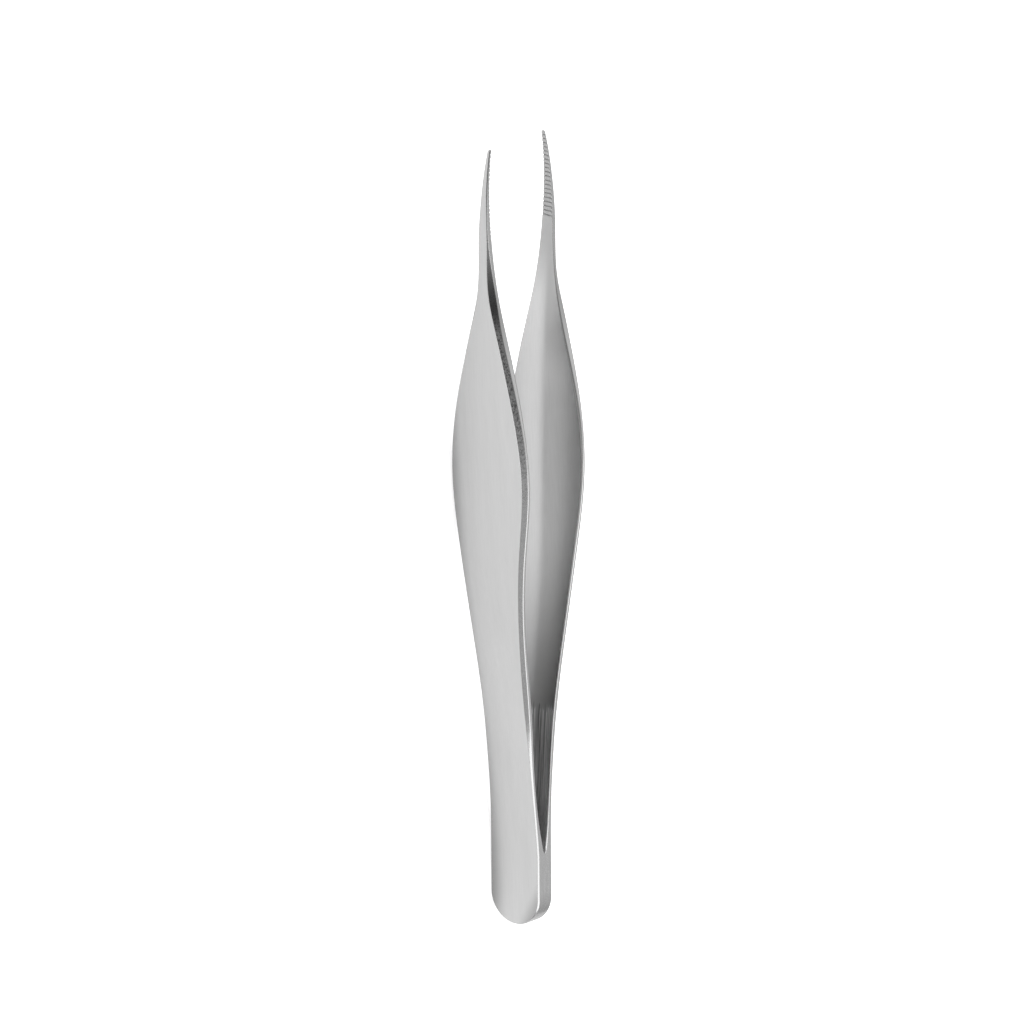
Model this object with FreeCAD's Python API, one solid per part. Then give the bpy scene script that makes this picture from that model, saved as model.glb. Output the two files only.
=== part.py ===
import FreeCAD, Part
import math
import os

# Fine-point serrated thumb forceps in satin stainless steel, all sizes in millimetres.
# Two mirror-image forged arms are welded face to face at a flat, round-ended heel.
# Each arm is ground thin above the weld to make the spring, swells into a leaf-shaped
# grip, and runs through a narrow neck to a fine jaw with cross serrations.
#
# The forceps lie on their edges as they come to rest: X is the opening direction, with
# the left arm at -X and the plane between the arms at X = 0, Y runs from the heel to
# the tips, and Z is up. The origin is at the middle of the footprint, on the floor.

# Lengths of the zones of an arm, in order from the heel end to the tip
weld_length = 11.2
spring_length = 9.3
run_out_length = 12.5
shank_length = 13.0
grip_rise = 12.0
grip_length = 11.5
grip_fall = 9.5
shoulder_length = 9.0
neck_length = 9.0
throat_length = 9.0
jaw_length = 7.0
point_length = 7.0

# Full widths of an arm, measured on its inner face
heel_width = 9.05
spring_width = 8.4
run_out_width = 8.8
shank_width = 10.0
rise_width = 12.3
belly_width = 14.5
fall_width = 12.55
shoulder_width = 8.3
neck_width = 3.95
throat_width = 1.95
jaw_width = 1.2
tip_width = 0.5

# Distance from the plane between the arms to the edge of the outer face
spring_spread = 2.2
run_out_spread = 3.67
shank_spread = 5.55
rise_spread = 6.78
belly_spread = 7.2
fall_spread = 7.55
shoulder_spread = 7.74
neck_spread = 7.82
throat_spread = 7.84
jaw_spread = 7.54
tip_spread = 6.3

# Thickness of an arm at the edge of its outer face
heel_thickness = 1.6
spring_thickness = 0.72
run_out_thickness = 1.17
shank_thickness = 1.09
rise_thickness = 1.15
belly_thickness = 1.2
fall_thickness = 1.42
shoulder_thickness = 1.66
neck_thickness = 1.46
throat_thickness = 0.98
jaw_thickness = 0.68
tip_thickness = 0.34

# Width of the bevel beside the outer face; low down it is only a broken edge
edge_break = 0.2
run_out_bevel = 0.47
shank_bevel = 0.44
rise_bevel = 0.48
belly_bevel = 0.55
shoulder_bevel = 0.59
neck_bevel = 0.57
throat_bevel = 0.27
jaw_bevel = 0.15
tip_bevel = 0.08
bevel_steepness = 1.28

# Height of the crown across the outer face, which is flat at the heel
spring_crown = 0.04
shank_crown = 0.1
belly_crown = 0.2
neck_crown = 0.1
jaw_crown = 0.04

# Height of the ridge along the middle of the inner face, and the share of that height by
# which the halves beside it are bowed
spring_ridge = 0.04
run_out_ridge = 0.15
shank_ridge = 0.5
rise_ridge = 0.75
belly_ridge = 0.85
fall_ridge = 0.72
shoulder_ridge = 0.44
neck_ridge = 0.14
bow_share = 0.1

# Cross serrations on the inner face of each jaw
serrated_length = 13.6
tooth_pitch = 0.66
tooth_depth = 0.16
tooth_angle = 80.0
tip_land = 0.35

# Distance between the sections that an arm is drawn through, and the least bow drawn in one
section_spacing = 3.0
least_bow = 0.001

# Stations along an arm
heel_end = 0.0
weld_root = heel_end + weld_length
spring = weld_root + spring_length
run_out = spring + run_out_length
shank = run_out + shank_length
rise = shank + grip_rise
belly = rise + grip_length
fall = belly + grip_fall
shoulder = fall + shoulder_length
neck = shoulder + neck_length
throat = neck + throat_length
jaw = throat + jaw_length
tip = jaw + point_length

heel_radius = heel_width / 2


class Law:
    """A size that changes smoothly along the arm, through its values at given stations."""

    def __init__(self, *values):
        self.curve = Part.BSplineCurve()
        points = [FreeCAD.Vector(station, value, 0) for station, value in values]
        stations = [station for station, value in values]
        self.curve.interpolate(Points=points, Parameters=stations)

    def __call__(self, station):
        return self.curve.value(station).y


width = Law((heel_end, heel_width), (weld_root, heel_width), (spring, spring_width),
            (run_out, run_out_width), (shank, shank_width), (rise, rise_width),
            (belly, belly_width), (fall, fall_width), (shoulder, shoulder_width),
            (neck, neck_width), (throat, throat_width), (jaw, jaw_width), (tip, tip_width))

spread = Law((heel_end, heel_thickness), (weld_root, heel_thickness), (spring, spring_spread),
             (run_out, run_out_spread), (shank, shank_spread), (rise, rise_spread),
             (belly, belly_spread), (fall, fall_spread), (shoulder, shoulder_spread),
             (neck, neck_spread), (throat, throat_spread), (jaw, jaw_spread), (tip, tip_spread))

thickness = Law((weld_root, heel_thickness), (spring, spring_thickness),
                (run_out, run_out_thickness), (shank, shank_thickness), (rise, rise_thickness),
                (belly, belly_thickness), (fall, fall_thickness),
                (shoulder, shoulder_thickness), (neck, neck_thickness),
                (throat, throat_thickness), (jaw, jaw_thickness), (tip, tip_thickness))

bevel = Law((weld_root, edge_break), (spring, edge_break), (run_out, run_out_bevel),
            (shank, shank_bevel), (rise, rise_bevel), (belly, belly_bevel),
            (shoulder, shoulder_bevel), (neck, neck_bevel), (throat, throat_bevel),
            (jaw, jaw_bevel), (tip, tip_bevel))

crown = Law((weld_root, 0), (spring, spring_crown), (shank, shank_crown), (belly, belly_crown),
            (neck, neck_crown), (throat, jaw_crown), (tip, jaw_crown))

ridge = Law((weld_root, 0), (spring, spring_ridge), (run_out, run_out_ridge),
            (shank, shank_ridge), (rise, rise_ridge), (belly, belly_ridge), (fall, fall_ridge),
            (shoulder, shoulder_ridge), (neck, neck_ridge), (throat, 0), (jaw, 0), (tip, 0))


def inner_face(station):
    """Distance from the plane between the arms to the edges of an arm's inner face."""
    return spread(station) - thickness(station)


def section_edge(start, end, bow):
    """One side of a section, straight or bowed in X by the height of its middle."""
    if abs(bow) < least_bow:
        return Part.LineSegment(start, end).toShape()
    middle = (start + end) / 2 + FreeCAD.Vector(bow, 0, 0)
    return Part.Arc(start, middle, end).toShape()


def arm_section(station):
    """Section of the left arm: ridged inner face, low side walls, bevels, crowned outer face."""
    inner = -inner_face(station)
    rise_to_middle = max(ridge(station), 0)
    inner_bow = rise_to_middle * bow_share
    outer = -spread(station)
    bevel_foot = outer + bevel(station) * bevel_steepness
    half_width = width(station) / 2
    face_half_width = half_width - bevel(station)

    def point(x, z):
        return FreeCAD.Vector(x, station, z)

    corners = [point(outer, face_half_width), point(bevel_foot, half_width),
               point(inner, half_width), point(inner + rise_to_middle, 0),
               point(inner, -half_width), point(bevel_foot, -half_width),
               point(outer, -face_half_width)]
    bows = [0, 0, inner_bow, inner_bow, 0, 0, -crown(station)]
    sides = zip(corners, corners[1:] + corners[:1], bows)
    return Part.Wire([section_edge(start, end, bow) for start, end, bow in sides])


def arm_blade():
    """The arm from the weld to the tip, drawn through evenly spaced sections."""
    count = math.ceil((tip - weld_root) / section_spacing)
    step = (tip - weld_root) / count
    return Part.makeLoft([arm_section(weld_root + step * i) for i in range(count + 1)], True)


def heel_outline(x, inset):
    """Outline of the welded heel, straight-sided with a half-round end, drawn inset by a rim."""
    radius = heel_radius - inset
    centre = heel_end + heel_radius
    upper_root = FreeCAD.Vector(x, weld_root, radius)
    upper = FreeCAD.Vector(x, centre, radius)
    end = FreeCAD.Vector(x, centre - radius, 0)
    lower = FreeCAD.Vector(x, centre, -radius)
    lower_root = FreeCAD.Vector(x, weld_root, -radius)
    return Part.Wire([Part.LineSegment(upper_root, upper).toShape(),
                      Part.Arc(upper, end, lower).toShape(),
                      Part.LineSegment(lower, lower_root).toShape(),
                      Part.LineSegment(lower_root, upper_root).toShape()])


def arm_heel():
    """The flat half of the heel that one arm brings to the weld, with its outer edge broken."""
    rim_foot = heel_thickness - edge_break * bevel_steepness
    slab = Part.Face(heel_outline(0, 0)).extrude(FreeCAD.Vector(-rim_foot, 0, 0))
    rim = Part.makeLoft([heel_outline(-rim_foot, 0), heel_outline(-heel_thickness, edge_break)],
                        True, True)
    return slab.fuse(rim)


def tooth_gaps():
    """V-shaped gaps between the teeth, square to the inner face and right across the jaw."""
    half_mouth = tooth_depth * math.tan(math.radians(tooth_angle / 2))
    reach = width(tip - serrated_length)
    gaps = []
    for i in range(int((serrated_length - tip_land) / tooth_pitch)):
        station = tip - tip_land - tooth_pitch * (i + 0.5)
        foot = FreeCAD.Vector(-tooth_depth, 0, -reach)
        upper = FreeCAD.Vector(tooth_depth, 2 * half_mouth, -reach)
        lower = FreeCAD.Vector(tooth_depth, -2 * half_mouth, -reach)
        outline = Part.Face(Part.makePolygon([foot, upper, lower, foot]))
        gap = outline.extrude(FreeCAD.Vector(0, 0, 2 * reach))
        rise_across = inner_face(station + half_mouth) - inner_face(station - half_mouth)
        lean = math.degrees(math.atan2(rise_across, 2 * half_mouth))
        gap.rotate(FreeCAD.Vector(0, 0, 0), FreeCAD.Vector(0, 0, 1), lean)
        gap.translate(FreeCAD.Vector(-inner_face(station), station, 0))
        gaps.append(gap)
    return gaps


def rest_pitch():
    """Angle that the forceps tip through as they settle from the heel onto the widest edge."""
    samples = 200
    angles = []
    for i in range(1, samples + 1):
        station = weld_root + (tip - weld_root) * i / samples
        rise_of_edge = (width(station) - heel_width) / 2
        angles.append(math.atan2(rise_of_edge, station - heel_radius))
    return math.degrees(max(angles))


def lay_down(shape):
    """Turn an arm into its resting place, with the footprint's middle at the origin."""
    laid = shape.copy()
    laid.rotate(FreeCAD.Vector(0, 0, 0), FreeCAD.Vector(1, 0, 0), rest_pitch())
    return laid


left = arm_heel().fuse(arm_blade()).cut(tooth_gaps())
right = left.mirror(FreeCAD.Vector(0, 0, 0), FreeCAD.Vector(1, 0, 0))

arms = {"left_arm": lay_down(left), "right_arm": lay_down(right)}

box = FreeCAD.BoundBox()
for arm in arms.values():
    box.add(arm.optimalBoundingBox(True, False))
to_origin = FreeCAD.Vector(-box.Center.x, -box.Center.y, -box.ZMin)

os.makedirs("parts", exist_ok=True)
for name, arm in arms.items():
    arm.translate(to_origin)
    arm.exportStep("parts/" + name + ".step")
    print(name, arm.isValid(), len(arm.Solids), round(arm.Volume, 2), "mm3", arm.BoundBox)
print("pitch", rest_pitch())
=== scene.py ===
import math

import bmesh
import bpy
import numpy as np
from mathutils import Matrix, Vector


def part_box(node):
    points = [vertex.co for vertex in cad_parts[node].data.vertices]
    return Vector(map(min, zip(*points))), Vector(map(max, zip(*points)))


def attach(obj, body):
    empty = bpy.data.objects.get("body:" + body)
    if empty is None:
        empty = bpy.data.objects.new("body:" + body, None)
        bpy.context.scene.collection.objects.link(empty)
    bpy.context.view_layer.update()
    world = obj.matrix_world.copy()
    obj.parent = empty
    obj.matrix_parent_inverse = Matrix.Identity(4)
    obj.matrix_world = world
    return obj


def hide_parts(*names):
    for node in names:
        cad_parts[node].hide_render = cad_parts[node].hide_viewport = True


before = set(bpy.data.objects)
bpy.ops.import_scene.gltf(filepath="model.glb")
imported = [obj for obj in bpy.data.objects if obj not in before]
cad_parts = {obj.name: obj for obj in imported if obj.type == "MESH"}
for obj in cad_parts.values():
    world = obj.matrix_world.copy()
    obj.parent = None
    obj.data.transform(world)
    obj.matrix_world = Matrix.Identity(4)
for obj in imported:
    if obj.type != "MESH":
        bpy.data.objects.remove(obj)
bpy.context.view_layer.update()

# The arm blank. Each arm is one forged and ground stainless steel piece: a flat half heel,
# a thinned spring, a leaf-shaped grip with bevelled edges, a slim neck and a fine jaw.
# Its sizes are in millimetres, at stations counted from the heel end to the tip.

mm = 0.001

weld_root = 11.2
spring = 20.5
grain_start = 25.5
run_out = 33.0
shank = 46.0
rise = 58.0
belly = 69.5
fall = 79.0
shoulder = 88.0
upper_shoulder = 93.0
neck = 97.0
throat = 106.0
jaw = 113.0
tip = 120.0

heel_width = 9.05
heel_thickness = 1.6
heel_radius = heel_width / 2
edge_break = 0.12
bevel_steepness = 1.15
edge_steepness = 2.4


def smooth_law(*values):
    """A size that changes smoothly along the arm: a cubic spline through its values."""
    places = np.array([place for place, value in values])
    heights = np.array([value for place, value in values])
    gaps = np.diff(places)
    rises = np.diff(heights) / gaps
    count = len(places)
    system = np.eye(count)
    wanted = np.zeros(count)
    wanted[0] = np.polyfit(places[:4] - places[0], heights[:4], 3)[2]
    wanted[-1] = np.polyfit(places[-4:] - places[-1], heights[-4:], 3)[2]
    for i in range(1, count - 1):
        system[i, i - 1:i + 2] = gaps[i], 2 * (gaps[i - 1] + gaps[i]), gaps[i - 1]
        wanted[i] = 3 * (gaps[i] * rises[i - 1] + gaps[i - 1] * rises[i])
    slopes = np.linalg.solve(system, wanted)

    def law(station):
        i = min(max(int(np.searchsorted(places, station)) - 1, 0), count - 2)
        gap = gaps[i]
        t = (station - places[i]) / gap
        return ((1 + 2 * t) * (1 - t) ** 2 * heights[i] + t * (1 - t) ** 2 * gap * slopes[i]
                + t * t * (3 - 2 * t) * heights[i + 1] + t * t * (t - 1) * gap * slopes[i + 1])

    return law


full_width = smooth_law((0, heel_width), (weld_root, heel_width), (spring, 8.4),
                        (run_out, 8.8), (shank, 10.0), (rise, 12.3), (belly, 14.5),
                        (fall, 12.55), (shoulder, 8.3), (neck, 3.95), (throat, 1.95),
                        (jaw, 1.2), (tip, 0.5))
spread = smooth_law((0, heel_thickness), (weld_root, heel_thickness), (spring, 2.2),
                    (run_out, 3.67), (shank, 5.55), (rise, 6.78), (belly, 7.2), (fall, 7.55),
                    (shoulder, 7.74), (neck, 7.82), (throat, 7.84), (jaw, 7.54), (tip, 6.3))
thickness = smooth_law((weld_root, heel_thickness), (spring, 0.72), (run_out, 1.17),
                       (shank, 1.09), (rise, 1.15), (belly, 1.2), (fall, 1.42),
                       (shoulder, 1.66), (neck, 1.46), (throat, 0.98), (jaw, 0.68), (tip, 0.34))
bevel = smooth_law((weld_root, edge_break), (spring, edge_break), (grain_start, 0.18),
                   (run_out, 0.46), (shank, 0.5), (rise, 0.57), (belly, 0.65), (fall, 0.65),
                   (shoulder, 0.6), (upper_shoulder, 0.61), (neck, 0.77), (throat, 0.2),
                   (jaw, 0.14), (tip, 0.08))
crown = smooth_law((weld_root, 0), (spring, 0.04), (shank, 0.1), (belly, 0.2), (neck, 0.1),
                   (throat, 0.04), (tip, 0.04))
ridge = smooth_law((weld_root, 0), (spring, 0.04), (run_out, 0.15), (shank, 0.5), (rise, 0.75),
                   (belly, 0.85), (fall, 0.72), (shoulder, 0.44), (neck, 0.14), (throat, 0),
                   (jaw, 0), (tip, 0))

inner_edge_round = smooth_law((weld_root, 0.12), (spring, 0.12), (run_out, 0.16), (shank, 0.2),
                              (rise, 0.24), (belly, 0.24), (shoulder, 0.22), (neck, 0.14),
                              (throat, 0.09), (jaw, 0.07), (tip, 0.03))
face_edge_round = 0.05
bevel_foot_round = 0.09
root_chamfer = 0.36
root_length = 9.0
root_flatness = 0.8
round_growth = 0.5
grain_taper = 6.0
ridge_round = 0.3
ridge_bow = 0.1

# A rounding takes up at most this share of a side, and is turned towards the inner face at
# this share of half the width. The steps are the shares of each surface where points lie.
longest_round = 0.45
inner_aim = 0.9
round_steps = (0, 0.25, 0.5, 0.75, 1)
outer_face_steps = (0, 0.12, 0.24, 0.36, 0.48, 0.6, 0.72, 0.84, 0.93, 0.98)
bevel_steps = (0, 0.2, 0.4, 0.6, 0.8)
wall_steps = (0.1, 0.5, 0.9)
inner_face_steps = (0.98, 0.93, 0.84, 0.72, 0.6, 0.48, 0.36, 0.24, 0.16, 0.1, 0.05, 0)

SATIN, EDGE, RIM, GRIT, INNER = range(5)


def rounded(before, corner, after, reach, reach_after=None, flatness=0):
    """Five points that round a corner off, from the side before it to the side after it.

    The reaches are its lengths along the two sides. A flatness of 1 makes it a chamfer.
    """
    to_before = before - corner
    to_after = after - corner
    start = corner + to_before.normalized() * min(reach, to_before.length * longest_round)
    reach_after = min(reach_after or reach, to_after.length * longest_round)
    end = corner + to_after.normalized() * reach_after
    corner = corner.lerp(start.lerp(end, 0.5), flatness)
    return [start.lerp(corner, t).lerp(corner.lerp(end, t), t) for t in round_steps]


def half_section(station):
    """Half of an arm's section, from the outer face's middle to the inner face's middle.

    Each point is its distance from the plane between the arms, its height above the arm's
    middle, and the finish of the surface that follows it.
    """
    along = max(station, weld_root)
    outer = spread(along)
    inner = outer - thickness(along)
    half_width = (full_width(station) if station > weld_root else heel_width) / 2
    towards_spring = min(max((run_out - along) / (run_out - spring), 0), 1)
    steepness = bevel_steepness + (edge_steepness - bevel_steepness) * towards_spring
    corner = Vector((outer, half_width - bevel(along)))
    foot = Vector((outer - bevel(along) * steepness, half_width))
    inner_corner = Vector((inner, half_width))
    outer_bulge = max(crown(along), 0)
    inner_bulge = max(ridge(along), 0)
    soft_height = math.hypot(half_width, ridge_round) - ridge_round

    def ridged(z):
        """A point of the inner face at a height above the arm's middle."""
        height = 1 - (math.hypot(z, ridge_round) - ridge_round) / soft_height
        t = z / half_width
        return Vector((inner - inner_bulge * (height + ridge_bow * 4 * t * (1 - t)), z))

    opened = max(station - weld_root, 0)
    grown = min(opened / round_growth, 1)
    near_root = max(1 - opened / root_length, 0)
    face_reach = inner_edge_round(along)
    wall_reach = face_reach + (root_chamfer - face_reach) * near_root
    outer_round = rounded(Vector((outer, 0)), corner, foot, face_edge_round)
    foot_round = rounded(corner, foot, inner_corner, bevel_foot_round)
    inner_round = rounded(foot, inner_corner, ridged(half_width * inner_aim),
                          wall_reach * grown, face_reach * grown, root_flatness * near_root)
    points = []
    for fraction in outer_face_steps:
        z = outer_round[0].y * fraction
        points.append((outer + outer_bulge * (1 - (z / corner.y) ** 2), z, SATIN))
    points += [(p.x, p.y, EDGE) for p in outer_round[:-1]]
    for fraction in bevel_steps:
        p = outer_round[-1].lerp(foot_round[0], fraction)
        grainy = station > grain_start + grain_taper * fraction
        points.append((p.x, p.y, GRIT if grainy else RIM))
    points += [(p.x, p.y, RIM) for p in foot_round[:-1]]
    points.append((foot_round[-1].x, foot_round[-1].y, EDGE))
    for fraction in wall_steps:
        p = foot_round[-1].lerp(inner_round[0], fraction)
        points.append((p.x, p.y, EDGE))
    inner_edge = EDGE if near_root > 0 else RIM
    points += [(p.x, p.y, inner_edge) for p in inner_round[:-1]]
    points.append((inner_round[-1].x, inner_round[-1].y, INNER))
    for fraction in inner_face_steps:
        p = ridged(inner_round[-1].y * fraction)
        points.append((p.x, p.y, INNER))
    return points


# The resting place. The forceps lie on their edges, on the round of the heel and the widest
# part of each arm, so the arms are pitched up a little around the middle of the heel's round.

rest_samples = 200

pitch = max(math.atan2((full_width(s) - heel_width) / 2, s - heel_radius)
            for s in np.linspace(weld_root, tip, rest_samples + 1)[1:])
arm_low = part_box("left_arm")[0]
heel_centre = Vector((0, arm_low.y + heel_radius * mm, arm_low.z + heel_radius * mm))
lay_down = Matrix.Translation(heel_centre) @ Matrix.Rotation(pitch, 4, "X")


# The serrations. Twenty V-shaped gaps are cut square across the inner face of each jaw, so
# that crests stand between them. They start just below the point, behind a plain land.

serrated_length = 13.6
tooth_pitch = 0.66
tooth_depth = 0.16
tooth_angle = math.radians(80)
tip_land = 0.35
half_mouth = tooth_depth * math.tan(tooth_angle / 2)
tooth_gaps = int((serrated_length - tip_land) / tooth_pitch)


def math_node(tree, operation, first, second=None):
    """A math node on sockets or plain numbers, given as its output socket."""
    node = tree.nodes.new("ShaderNodeMath")
    node.operation = operation
    for socket, value in zip(node.inputs, (first, second)):
        if isinstance(value, bpy.types.NodeSocket):
            tree.links.new(value, socket)
        elif value is not None:
            socket.default_value = value
    return node.outputs[0]


def build_serration_tree(cut_finish):
    """Geometry nodes that press the gaps into a blank's inner face and give them their finish."""
    tree = bpy.data.node_groups.new("Jaw serrations", "GeometryNodeTree")
    interface = tree.interface
    interface.new_socket("Blank", in_out="INPUT", socket_type="NodeSocketGeometry")
    for name in ("Pitch", "Depth", "Half mouth", "Tip land", "Cut length"):
        interface.new_socket(name, in_out="INPUT", socket_type="NodeSocketFloat")
    interface.new_socket("Arm", in_out="OUTPUT", socket_type="NodeSocketGeometry")
    nodes, links = tree.nodes, tree.links
    inputs = nodes.new("NodeGroupInput").outputs

    def attribute(name):
        node = nodes.new("GeometryNodeInputNamedAttribute")
        node.data_type = "FLOAT"
        node.inputs["Name"].default_value = name
        return node.outputs["Attribute"]

    below_land = math_node(tree, "SUBTRACT", attribute("from_tip"), inputs["Tip land"])
    in_pitch = math_node(tree, "FLOORED_MODULO", below_land, inputs["Pitch"])
    half_pitch = math_node(tree, "MULTIPLY", inputs["Pitch"], 0.5)
    off_centre = math_node(tree, "ABSOLUTE", math_node(tree, "SUBTRACT", in_pitch, half_pitch))
    slope = math_node(tree, "SUBTRACT", 1.0,
                      math_node(tree, "DIVIDE", off_centre, inputs["Half mouth"]))
    cut = math_node(tree, "MULTIPLY", math_node(tree, "MAXIMUM", slope, 0.0), inputs["Depth"])
    after_land = math_node(tree, "GREATER_THAN", below_land, 0.0)
    before_end = math_node(tree, "LESS_THAN", below_land, inputs["Cut length"])
    serrated = math_node(tree, "MULTIPLY", after_land, before_end)
    floor = math_node(tree, "ADD", attribute("inner_face"),
                      math_node(tree, "MULTIPLY", cut, serrated))

    apart = nodes.new("ShaderNodeSeparateXYZ")
    links.new(nodes.new("GeometryNodeInputPosition").outputs[0], apart.inputs[0])
    distance = math_node(tree, "MAXIMUM", math_node(tree, "ABSOLUTE", apart.outputs["X"]), floor)
    together = nodes.new("ShaderNodeCombineXYZ")
    links.new(math_node(tree, "MULTIPLY", distance,
                        math_node(tree, "SIGN", apart.outputs["X"])), together.inputs["X"])
    links.new(apart.outputs["Y"], together.inputs["Y"])
    links.new(apart.outputs["Z"], together.inputs["Z"])
    press = nodes.new("GeometryNodeSetPosition")
    links.new(inputs["Blank"], press.inputs["Geometry"])
    links.new(serrated, press.inputs["Selection"])
    links.new(together.outputs[0], press.inputs["Position"])
    realize = nodes.new("GeometryNodeRealizeInstances")
    links.new(press.outputs[0], realize.inputs[0])
    finish = nodes.new("GeometryNodeSetMaterial")
    finish.inputs["Material"].default_value = cut_finish
    links.new(realize.outputs[0], finish.inputs["Geometry"])
    links.new(math_node(tree, "MULTIPLY", serrated, attribute("inner_side")),
              finish.inputs["Selection"])
    links.new(finish.outputs[0], nodes.new("NodeGroupOutput").inputs[0])
    return tree


# The finishes of the steel. The faces are satin, the bevels are left grainy, the side walls
# are polished, the broken edges are bright, and a wheel has ground the inner face lengthwise
# above the weld. Some greys also carry painted shade and painted highlights, named where they
# stand. Zones are given as start and end, in metres along or across the forceps.

ground_end = 33.4
ground_raggedness = 1.6
ground_end_y = (lay_down @ Vector((0, (ground_end - heel_radius) * mm, 0))).y


def build_grain_group():
    """A shader group: fine marks drawn out along the arm, as a mask from 0 to 1."""
    group = bpy.data.node_groups.new("Steel grain", "ShaderNodeTree")
    for name in ("Across", "Along", "Contrast"):
        group.interface.new_socket(name, in_out="INPUT", socket_type="NodeSocketFloat")
    group.interface.new_socket("Place", in_out="INPUT", socket_type="NodeSocketVector")
    group.interface.new_socket("Mask", in_out="OUTPUT", socket_type="NodeSocketFloat")
    nodes, links = group.nodes, group.links
    inputs = nodes.new("NodeGroupInput").outputs
    scale = nodes.new("ShaderNodeCombineXYZ")
    for socket, name in zip(scale.inputs, ("Across", "Along", "Across")):
        links.new(inputs[name], socket)
    stretched = nodes.new("ShaderNodeVectorMath")
    stretched.operation = "MULTIPLY"
    links.new(inputs["Place"], stretched.inputs[0])
    links.new(scale.outputs[0], stretched.inputs[1])
    noise = nodes.new("ShaderNodeTexNoise")
    noise.inputs["Scale"].default_value = 1.0
    noise.inputs["Detail"].default_value = 3.0
    links.new(stretched.outputs[0], noise.inputs["Vector"])
    centred = math_node(group, "SUBTRACT", noise.outputs["Fac"], 0.5)
    wide = math_node(group, "MULTIPLY", centred, inputs["Contrast"])
    level = math_node(group, "ADD", wide, 0.5)
    clamp = nodes.new("ShaderNodeClamp")
    links.new(level, clamp.inputs[0])
    links.new(clamp.outputs[0], nodes.new("NodeGroupOutput").inputs["Mask"])
    return group


grain_group = build_grain_group()


def grain(tree, across, along, contrast, place=None):
    """The grain group placed in a material's tree, given as its mask."""
    node = tree.nodes.new("ShaderNodeGroup")
    node.node_tree = grain_group
    place = place or tree.nodes.new("ShaderNodeTexCoord").outputs["Object"]
    tree.links.new(place, node.inputs["Place"])
    node.inputs["Across"].default_value = across
    node.inputs["Along"].default_value = along
    node.inputs["Contrast"].default_value = contrast
    return node.outputs["Mask"]


def new_steel(name):
    """A metal material, with its node tree and its shader's inputs."""
    material = bpy.data.materials.new(name)
    material.use_nodes = True
    inputs = material.node_tree.nodes["Principled BSDF"].inputs
    inputs["Metallic"].default_value = 1.0
    return material, material.node_tree, inputs


def mix_colours(tree, mask, first, second):
    """A colour between two others, each a socket or a plain grey, by a mask."""
    mix = tree.nodes.new("ShaderNodeMix")
    mix.data_type = "RGBA"
    tree.links.new(mask, mix.inputs["Factor"])
    for socket, colour in ((mix.inputs["A"], first), (mix.inputs["B"], second)):
        if isinstance(colour, bpy.types.NodeSocket):
            tree.links.new(colour, socket)
        else:
            socket.default_value = (colour, colour, colour, 1)
    return mix.outputs["Result"]


def blend_values(tree, mask, first, second):
    """A number between two others, by a mask."""
    return math_node(tree, "ADD", math_node(tree, "MULTIPLY", mask, second - first), first)


def ramp(tree, value, start, end, first=0.0, last=1.0, smooth=True):
    """A number that goes from a first to a last one as a value goes from a start to an end."""
    reach = tree.nodes.new("ShaderNodeMapRange")
    reach.interpolation_type = "SMOOTHSTEP" if smooth else "LINEAR"
    reach.inputs["From Min"].default_value = start
    reach.inputs["From Max"].default_value = end
    reach.inputs["To Min"].default_value = first
    reach.inputs["To Max"].default_value = last
    tree.links.new(value, reach.inputs["Value"])
    return reach.outputs["Result"]


def object_place(tree):
    """The place of a point on the object, as sockets named X, Y and Z."""
    apart = tree.nodes.new("ShaderNodeSeparateXYZ")
    tree.links.new(tree.nodes.new("ShaderNodeTexCoord").outputs["Object"], apart.inputs[0])
    return apart.outputs


def fade_along(tree, zone, before, after):
    """A colour that turns into another one within a zone along the forceps."""
    return mix_colours(tree, ramp(tree, object_place(tree)["Y"], *zone), before, after)


def build_satin():
    """The satin outer faces, with painted shade at the low border by the table and at the heel's
    upper corner.
    """
    satin_greys = (0.55, 0.645)
    # Painted shade: the grey that the low border and the heel's upper corner darken to.
    satin_shade_grey = 0.4
    low_border = (0.1 * mm, 3.2 * mm)
    heel_corner = (4.4 * mm, 2.2 * mm)
    corner_rise = 0.85
    corner_run = 0.5
    material, tree, shader = new_steel("satin steel")
    fine = grain(tree, across=5000, along=250, contrast=1.2)
    broad = grain(tree, across=420, along=22, contrast=1.8)
    mixed = math_node(tree, "MULTIPLY", math_node(tree, "ADD", fine, broad), 0.5)
    satin = mix_colours(tree, mixed, *satin_greys)

    place = object_place(tree)
    above_heel = math_node(tree, "SUBTRACT", place["Z"], heel_centre.z)
    past_heel = math_node(tree, "SUBTRACT", place["Y"], heel_centre.y)
    to_corner = math_node(tree, "SUBTRACT", math_node(tree, "MULTIPLY", above_heel, corner_rise),
                          math_node(tree, "MULTIPLY", past_heel, corner_run))
    # Painted shade: darker at the low border near the table and at the heel's upper corner.
    unshaded = math_node(tree, "MULTIPLY", ramp(tree, place["Z"], *low_border),
                     ramp(tree, to_corner, *heel_corner))
    tree.links.new(mix_colours(tree, unshaded, satin_shade_grey, satin), shader["Base Color"])
    tree.links.new(blend_values(tree, fine, 0.26, 0.34), shader["Roughness"])
    return material


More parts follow.
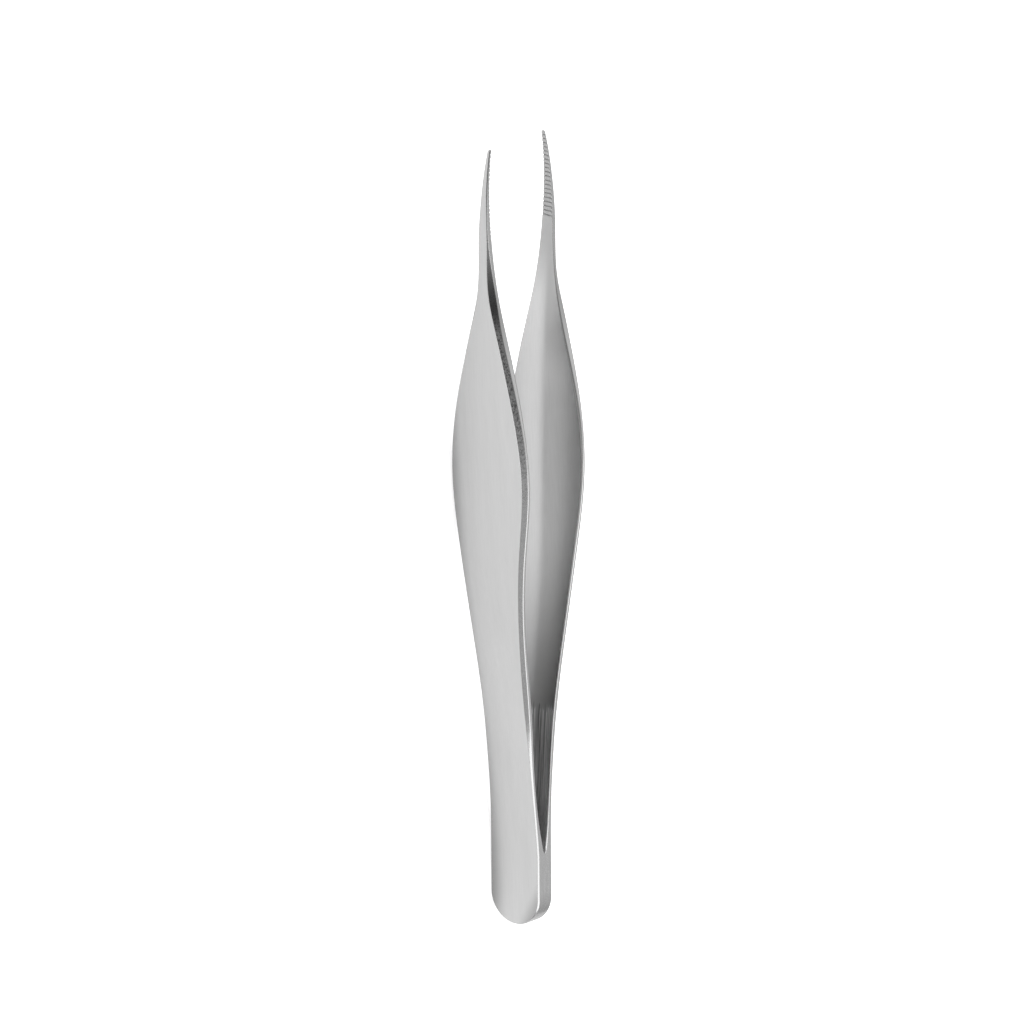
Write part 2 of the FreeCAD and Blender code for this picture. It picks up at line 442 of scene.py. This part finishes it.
def build_edge():
    """The narrow side walls: polished, with a painted highlight from belly to neck and painted
    shade at the heel's end.
    """
    polished_greys = (0.58, 0.65)
    # Painted highlight: these brighter greys light the walls from belly to neck.
    highlight_greys = (0.88, 0.95)
    # Painted shade: the heel's end wall darkens to this grey.
    heel_shade_grey = 0.3
    highlight_start = (6 * mm, 14 * mm)
    highlight_end = (26 * mm, 36 * mm)
    heel_shade_zone = (arm_low.y, arm_low.y + 6 * mm)
    material, tree, shader = new_steel("polished edge")
    fine = grain(tree, across=3000, along=400, contrast=1.2)
    polished = mix_colours(tree, fine, *polished_greys)
    bright = mix_colours(tree, fine, *highlight_greys)
    # Painted highlight from belly to neck.
    wall = fade_along(tree, highlight_end, bright, polished)
    wall = fade_along(tree, highlight_start, polished, wall)
    # Painted shade at the heel's end.
    tree.links.new(fade_along(tree, heel_shade_zone, heel_shade_grey, wall), shader["Base Color"])
    tree.links.new(blend_values(tree, fine, 0.18, 0.26), shader["Roughness"])
    return material


def build_grit():
    """The bevels: coarse grains above the belly, faint ones towards the heel, painted shade at the
    neck.
    """
    coarse_greys = (0.28, 0.72)
    faint_greys = (0.42, 0.47)
    # Painted shade: the bevels darken to this grey at the neck.
    neck_shade_grey = 0.13
    jaw_grey = 0.4
    rough_zone = (0.0, 18 * mm)
    coarse_zone = (4 * mm, 22 * mm)
    neck_shade_zone = (31.5 * mm, 36.5 * mm)
    throat_zone = (38.5 * mm, 48 * mm)
    grain_height = 0.0000012
    material, tree, shader = new_steel("grained bevel")
    coarse = grain(tree, across=3800, along=2800, contrast=3.0)
    rough = math_node(tree, "MULTIPLY", coarse,
                      ramp(tree, object_place(tree)["Y"], *rough_zone))
    grains = fade_along(tree, coarse_zone, mix_colours(tree, coarse, *faint_greys),
                        mix_colours(tree, coarse, *coarse_greys))
    above_neck = fade_along(tree, throat_zone, neck_shade_grey, jaw_grey)
    # Painted shade at the neck.
    tree.links.new(fade_along(tree, neck_shade_zone, grains, above_neck), shader["Base Color"])
    tree.links.new(blend_values(tree, rough, 0.25, 0.35), shader["Roughness"])
    bump = tree.nodes.new("ShaderNodeBump")
    bump.inputs["Distance"].default_value = grain_height
    tree.links.new(rough, bump.inputs["Height"])
    tree.links.new(bump.outputs["Normal"], shader["Normal"])
    return material


def build_rim():
    """The broken edges beside the outer and inner faces, polished bright."""
    rim_grey = 0.55
    material, tree, shader = new_steel("bright rim")
    shader["Base Color"].default_value = (rim_grey, rim_grey, rim_grey, 1)
    shader["Roughness"].default_value = 0.22
    return material


def build_inner():
    """The inner face: satin, darker towards the jaw, and ground in streaks at the weld; with
    painted shade above the ground zone and on the upper half at the neck, and a painted highlight
    along the upper border of the ground zone.
    """
    satin_greys = (0.66, 0.735)
    # Painted shade of the narrow gap between the arms, just above the ground zone.
    gap_shade_grey = 0.47
    # Painted shade on the upper half of the face at the neck.
    upper_neck_shade_grey = 0.52
    jaw_grey = 0.5
    ground_greys = (0.17, 0.8)
    # Painted highlight: lighter greys along the upper border of the ground zone.
    ground_highlight_greys = (0.6, 1)
    root_greys = (0.5, 0.75)
    # Painted highlight along the upper border near the root, nearly white.
    root_highlight_greys = (0.95, 1)
    upper_half = (-0.1 * mm, 0.9 * mm)
    border_highlight_zone = (2.2 * mm, 3.3 * mm)
    root_zone = (ground_end_y - 16 * mm, ground_end_y - 6 * mm)
    ground_edge = (ground_end_y, ground_end_y + 0.4 * mm)
    gap_shade_zone = (ground_end_y, ground_end_y + 26 * mm)
    neck_shade_zone = (22 * mm, 30 * mm)
    throat_zone = (33 * mm, 44 * mm)
    material, tree, shader = new_steel("inner face")
    place = object_place(tree)
    from_heel = math_node(tree, "SUBTRACT", place["Y"], heel_centre.y)
    middle = math_node(tree, "ADD", math_node(tree, "MULTIPLY", from_heel, math.tan(pitch)),
                       heel_centre.z)
    above_middle = math_node(tree, "SUBTRACT", place["Z"], middle)
    fine = grain(tree, across=5000, along=250, contrast=1.2)
    # Painted shade of the narrow gap above the ground zone.
    satin = fade_along(tree, gap_shade_zone, gap_shade_grey,
                       mix_colours(tree, fine, *satin_greys))
    # Painted shade on the upper half at the neck.
    upper_neck_shade = math_node(tree, "MULTIPLY", ramp(tree, above_middle, *upper_half),
                           ramp(tree, place["Y"], *neck_shade_zone))
    satin = mix_colours(tree, upper_neck_shade, satin, upper_neck_shade_grey)
    satin = fade_along(tree, throat_zone, satin, jaw_grey)

    on_face = tree.nodes.new("ShaderNodeCombineXYZ")
    tree.links.new(place["Y"], on_face.inputs["Y"])
    tree.links.new(above_middle, on_face.inputs["Z"])
    streaks = grain(tree, across=4200, along=45, contrast=5.0, place=on_face.outputs[0])
    # Painted highlight along the upper border of the ground zone.
    border_highlight = ramp(tree, above_middle, *border_highlight_zone)
    ground = mix_colours(tree, border_highlight, mix_colours(tree, streaks, *ground_greys),
                         mix_colours(tree, streaks, *ground_highlight_greys))
    root = mix_colours(tree, border_highlight, mix_colours(tree, streaks, *root_greys),
                       mix_colours(tree, streaks, *root_highlight_greys))
    ground = fade_along(tree, root_zone, root, ground)

    ends = grain(tree, across=4200, along=45, contrast=3.0, place=on_face.outputs[0])
    ragged = math_node(tree, "MULTIPLY", ends, ground_raggedness * mm)
    ragged_y = math_node(tree, "ADD", place["Y"], ragged)
    above = ramp(tree, ragged_y, *ground_edge, smooth=False)
    tree.links.new(mix_colours(tree, above, ground, satin), shader["Base Color"])
    tree.links.new(blend_values(tree, above, 0.34, 0.28), shader["Roughness"])
    return material


def build_cut():
    """The serrations: bright cuts with a slight grain."""
    cut_greys = (0.4, 0.53)
    material, tree, shader = new_steel("cut teeth")
    fine = grain(tree, across=6000, along=2000, contrast=1.5)
    tree.links.new(mix_colours(tree, fine, *cut_greys), shader["Base Color"])
    shader["Roughness"].default_value = 0.3
    return material


# The two arms. They are mirror images, welded face to face at the flat of the heel. Each
# blank gets its serrations and is laid down on its edge, as the forceps come to rest.

heel_steps = 28
straight_steps = 8
blade_spacing = 0.5
merge_distance = 0.0005
crease_angle = math.radians(32)
# Each ring that rounds the tip: its distance below the tip, and its share of the section
tip_rings = ((0.22, 0.95), (0.1, 0.82), (0.03, 0.62), (0.0, 0.4))


def arm_stations():
    """Stations of the sections between the heel's round and the tip."""
    straight = list(np.linspace(heel_radius, weld_root, straight_steps))[:-1]
    teeth_end = tip - tip_land
    teeth_start = teeth_end - tooth_gaps * tooth_pitch
    count = math.ceil((teeth_start - weld_root) / blade_spacing)
    blade = list(np.linspace(weld_root, teeth_start, count + 1))
    teeth = []
    for i in reversed(range(tooth_gaps)):
        centre = teeth_end - tooth_pitch * (i + 0.5)
        teeth += [centre - half_mouth, centre, centre + half_mouth]
    return straight + blade + teeth + [teeth_end]


def build_blank(name, side, finishes):
    """An arm's blank as a closed mesh: rings of points round the heel's end and up to the tip.

    Each point has its place, the distance of the inner face there and the finish after it.
    """
    rings = []
    heel_half = half_section(0)
    inside = heel_radius - edge_break
    for i in range(heel_steps):
        turn = math.pi / 2 * i / heel_steps
        rings.append([(x, heel_radius - max(z, inside) * math.cos(turn), z * math.sin(turn), 0, f)
                      for x, z, f in heel_half])
    for station in arm_stations():
        inner = spread(station) - thickness(station) if station > weld_root else 0
        rings.append([(x, station, z, inner, f) for x, z, f in half_section(station)])
    for below_tip, scale in tip_rings:
        station = tip - below_tip
        end = half_section(station)
        inner = end[-1][0]
        rings.append([(inner + (x - inner) * scale, station, z * scale, 0, f) for x, z, f in end])

    shape = bmesh.new()
    from_tip = shape.verts.layers.float.new("from_tip")
    inner_face = shape.verts.layers.float.new("inner_face")
    inner_side = shape.faces.layers.float.new("inner_side")
    loops = []
    finishes_of = []
    for ring in rings:
        loop = []
        back = [(x, y, -z, inner, f) for x, y, z, inner, f in ring[-2:0:-1]]
        for x, y, z, inner, f in ring + back:
            vert = shape.verts.new(Vector((side * x, y - heel_radius, z)) * mm)
            vert[from_tip] = (tip - y) * mm
            vert[inner_face] = inner * mm
            loop.append(vert)
        loops.append(loop)
        half = [f for x, y, z, inner, f in ring]
        finishes_of.append(half[:-1] + half[-2::-1])
    for loop, following, finish_of in zip(loops, loops[1:], finishes_of):
        for i, finish in enumerate(finish_of):
            j = (i + 1) % len(loop)
            face = shape.faces.new((loop[i], loop[j], following[j], following[i]))
            face.material_index = finish
            face[inner_side] = 1.0 if finish == INNER else 0.0
    shape.faces.new(loops[-1]).material_index = EDGE
    bmesh.ops.remove_doubles(shape, verts=shape.verts, dist=merge_distance * mm)
    bmesh.ops.dissolve_degenerate(shape, edges=shape.edges, dist=merge_distance * mm)
    bmesh.ops.recalc_face_normals(shape, faces=shape.faces)
    mesh = bpy.data.meshes.new(name)
    shape.to_mesh(mesh)
    shape.free()
    for finish in finishes:
        mesh.materials.append(finish)
    blank = bpy.data.objects.new(name, mesh)
    bpy.context.scene.collection.objects.link(blank)
    return blank


def cut_serrations(arm, tree):
    """Runs the serration tree on an arm, keeps the result as a plain mesh and lays it down."""
    sizes = {"Pitch": tooth_pitch, "Depth": tooth_depth, "Half mouth": half_mouth,
             "Tip land": tip_land, "Cut length": tooth_gaps * tooth_pitch}
    modifier = arm.modifiers.new("Jaw serrations", "NODES")
    modifier.node_group = tree
    for item in tree.interface.items_tree:
        if item.in_out == "INPUT" and item.name in sizes:
            modifier[item.identifier] = sizes[item.name] * mm
    graph = bpy.context.evaluated_depsgraph_get()
    mesh = bpy.data.meshes.new_from_object(arm.evaluated_get(graph))
    arm.modifiers.remove(modifier)
    arm.data = mesh
    mesh.transform(lay_down)
    mesh.shade_smooth()
    mesh.set_sharp_from_angle(angle=crease_angle)


finishes = [build_satin(), build_edge(), build_rim(), build_grit(), build_inner()]
serration_tree = build_serration_tree(build_cut())
for node, side in (("left_arm", -1), ("right_arm", 1)):
    arm = build_blank(node + "_steel", side, finishes)
    cut_serrations(arm, serration_tree)
    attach(arm, "root")
    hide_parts(node)


# The studio. The forceps lie on a plain white table under an overhead softbox. A second lamp
# lights only the table, as the steel doesn't mirror it, and the room is darker to one side.

table_size = 4.0

table_mesh = bpy.data.meshes.new("table")
half = table_size / 2
table_mesh.from_pydata([(-half, -half, 0), (half, -half, 0), (half, half, 0), (-half, half, 0)],
                       [], [(0, 1, 2, 3)])
table = bpy.data.objects.new("table", table_mesh)
bpy.context.scene.collection.objects.link(table)


def build_table_finish():
    """White card that takes a soft shadow, and glows to the camera and a little in the steel."""
    card_grey = 0.9
    glow_seen = 0.75
    glow_mirrored = 0.12
    material = bpy.data.materials.new("white card")
    material.use_nodes = True
    tree = material.node_tree
    nodes, links = tree.nodes, tree.links
    nodes.clear()
    card = nodes.new("ShaderNodeBsdfDiffuse")
    card.inputs["Color"].default_value = (card_grey, card_grey, card_grey, 1)
    path = nodes.new("ShaderNodeLightPath")
    seen = math_node(tree, "MULTIPLY", path.outputs["Is Camera Ray"], glow_seen)
    mirrored = math_node(tree, "ADD", path.outputs["Is Glossy Ray"],
                         path.outputs["Is Transmission Ray"])
    mirrored = math_node(tree, "MULTIPLY", mirrored, glow_mirrored)
    glow = nodes.new("ShaderNodeEmission")
    links.new(math_node(tree, "ADD", seen, mirrored), glow.inputs["Strength"])
    add = nodes.new("ShaderNodeAddShader")
    links.new(card.outputs[0], add.inputs[0])
    links.new(glow.outputs[0], add.inputs[1])
    links.new(add.outputs[0], nodes.new("ShaderNodeOutputMaterial").inputs["Surface"])
    return material


table_mesh.materials.append(build_table_finish())


def softbox(name, direction, distance, size, power, mirrored=True):
    """A square soft lamp that faces the forceps."""
    data = bpy.data.lights.new(name, "AREA")
    data.size = size
    data.energy = power
    lamp = bpy.data.objects.new(name, data)
    bpy.context.scene.collection.objects.link(lamp)
    away = Vector(direction).normalized()
    lamp.location = away * distance
    lamp.rotation_euler = away.to_track_quat("Z", "Y").to_euler()
    lamp.visible_camera = False
    lamp.visible_glossy = mirrored


softbox("overhead softbox", direction=(0.15, -0.6, 0.8), distance=0.7, size=0.6, power=1.4)
softbox("table fill", direction=(-0.08, 0.0, 1.0), distance=0.8, size=0.6, power=3.45,
        mirrored=False)


def build_room():
    """A world that is white to the camera, and to the steel a room darker to one side."""
    dark_side = Vector((-0.5, 0.45, 0.74)).normalized()
    world = bpy.data.worlds.new("studio")
    world.use_nodes = True
    tree = world.node_tree
    nodes, links = tree.nodes, tree.links
    nodes.clear()
    sky = nodes.new("ShaderNodeTexCoord").outputs["Generated"]
    towards_dark = nodes.new("ShaderNodeVectorMath")
    towards_dark.operation = "DOT_PRODUCT"
    towards_dark.inputs[1].default_value = dark_side
    links.new(sky, towards_dark.inputs[0])
    room_level = ramp(tree, towards_dark.outputs["Value"], start=0.62, end=0.88,
                      first=0.6, last=0.2, smooth=False)
    apart = nodes.new("ShaderNodeSeparateXYZ")
    links.new(sky, apart.inputs[0])
    beyond_tips = ramp(tree, apart.outputs["Y"], start=-0.3, end=0.5,
                       first=1.05, last=0.55, smooth=False)
    room = nodes.new("ShaderNodeBackground")
    links.new(math_node(tree, "MULTIPLY", room_level, beyond_tips), room.inputs["Color"])
    white = nodes.new("ShaderNodeBackground")
    white.inputs["Color"].default_value = (1, 1, 1, 1)
    choose = nodes.new("ShaderNodeMixShader")
    path = nodes.new("ShaderNodeLightPath")
    links.new(path.outputs["Is Camera Ray"], choose.inputs[0])
    links.new(room.outputs[0], choose.inputs[1])
    links.new(white.outputs[0], choose.inputs[2])
    links.new(choose.outputs[0], nodes.new("ShaderNodeOutputWorld").inputs["Surface"])
    return world


bpy.context.scene.world = build_room()
bpy.context.scene.view_settings.view_transform = "Standard"


# The camera. It looks down on the forceps from beside the left arm, through a long lens, so
# that they stand upright in the picture with both tips at the top.

picture_width = 1024
pixels_per_mm = 6.8376
heel_end_pixel = (521.742, 921.662)
side_turn = math.radians(40)
tip_tilt = math.radians(17.67)
roll = math.radians(0.4028)
camera_distance = 400

across = Vector((math.sin(side_turn), 0, math.cos(side_turn)))
upward = Vector((math.cos(side_turn) * math.sin(tip_tilt), math.cos(tip_tilt),
                 -math.sin(side_turn) * math.sin(tip_tilt)))
right = across * math.cos(roll) - upward * math.sin(roll)
up = across * math.sin(roll) + upward * math.cos(roll)
to_right = (picture_width / 2 - heel_end_pixel[0]) / pixels_per_mm
to_top = (heel_end_pixel[1] - picture_width / 2) / pixels_per_mm
aim = right * to_right + up * to_top - Vector((0, heel_radius, 0))

camera_data = bpy.data.cameras.new("camera")
camera_data.type = "ORTHO"
camera_data.ortho_scale = picture_width / pixels_per_mm * mm
camera = bpy.data.objects.new("camera", camera_data)
bpy.context.scene.collection.objects.link(camera)
back = right.cross(up)
turned = Matrix((right, up, back)).transposed().to_4x4()
stand = Matrix.Translation((aim + back * camera_distance) * mm)
camera.matrix_world = lay_down @ stand @ turned
bpy.context.scene.camera = camera
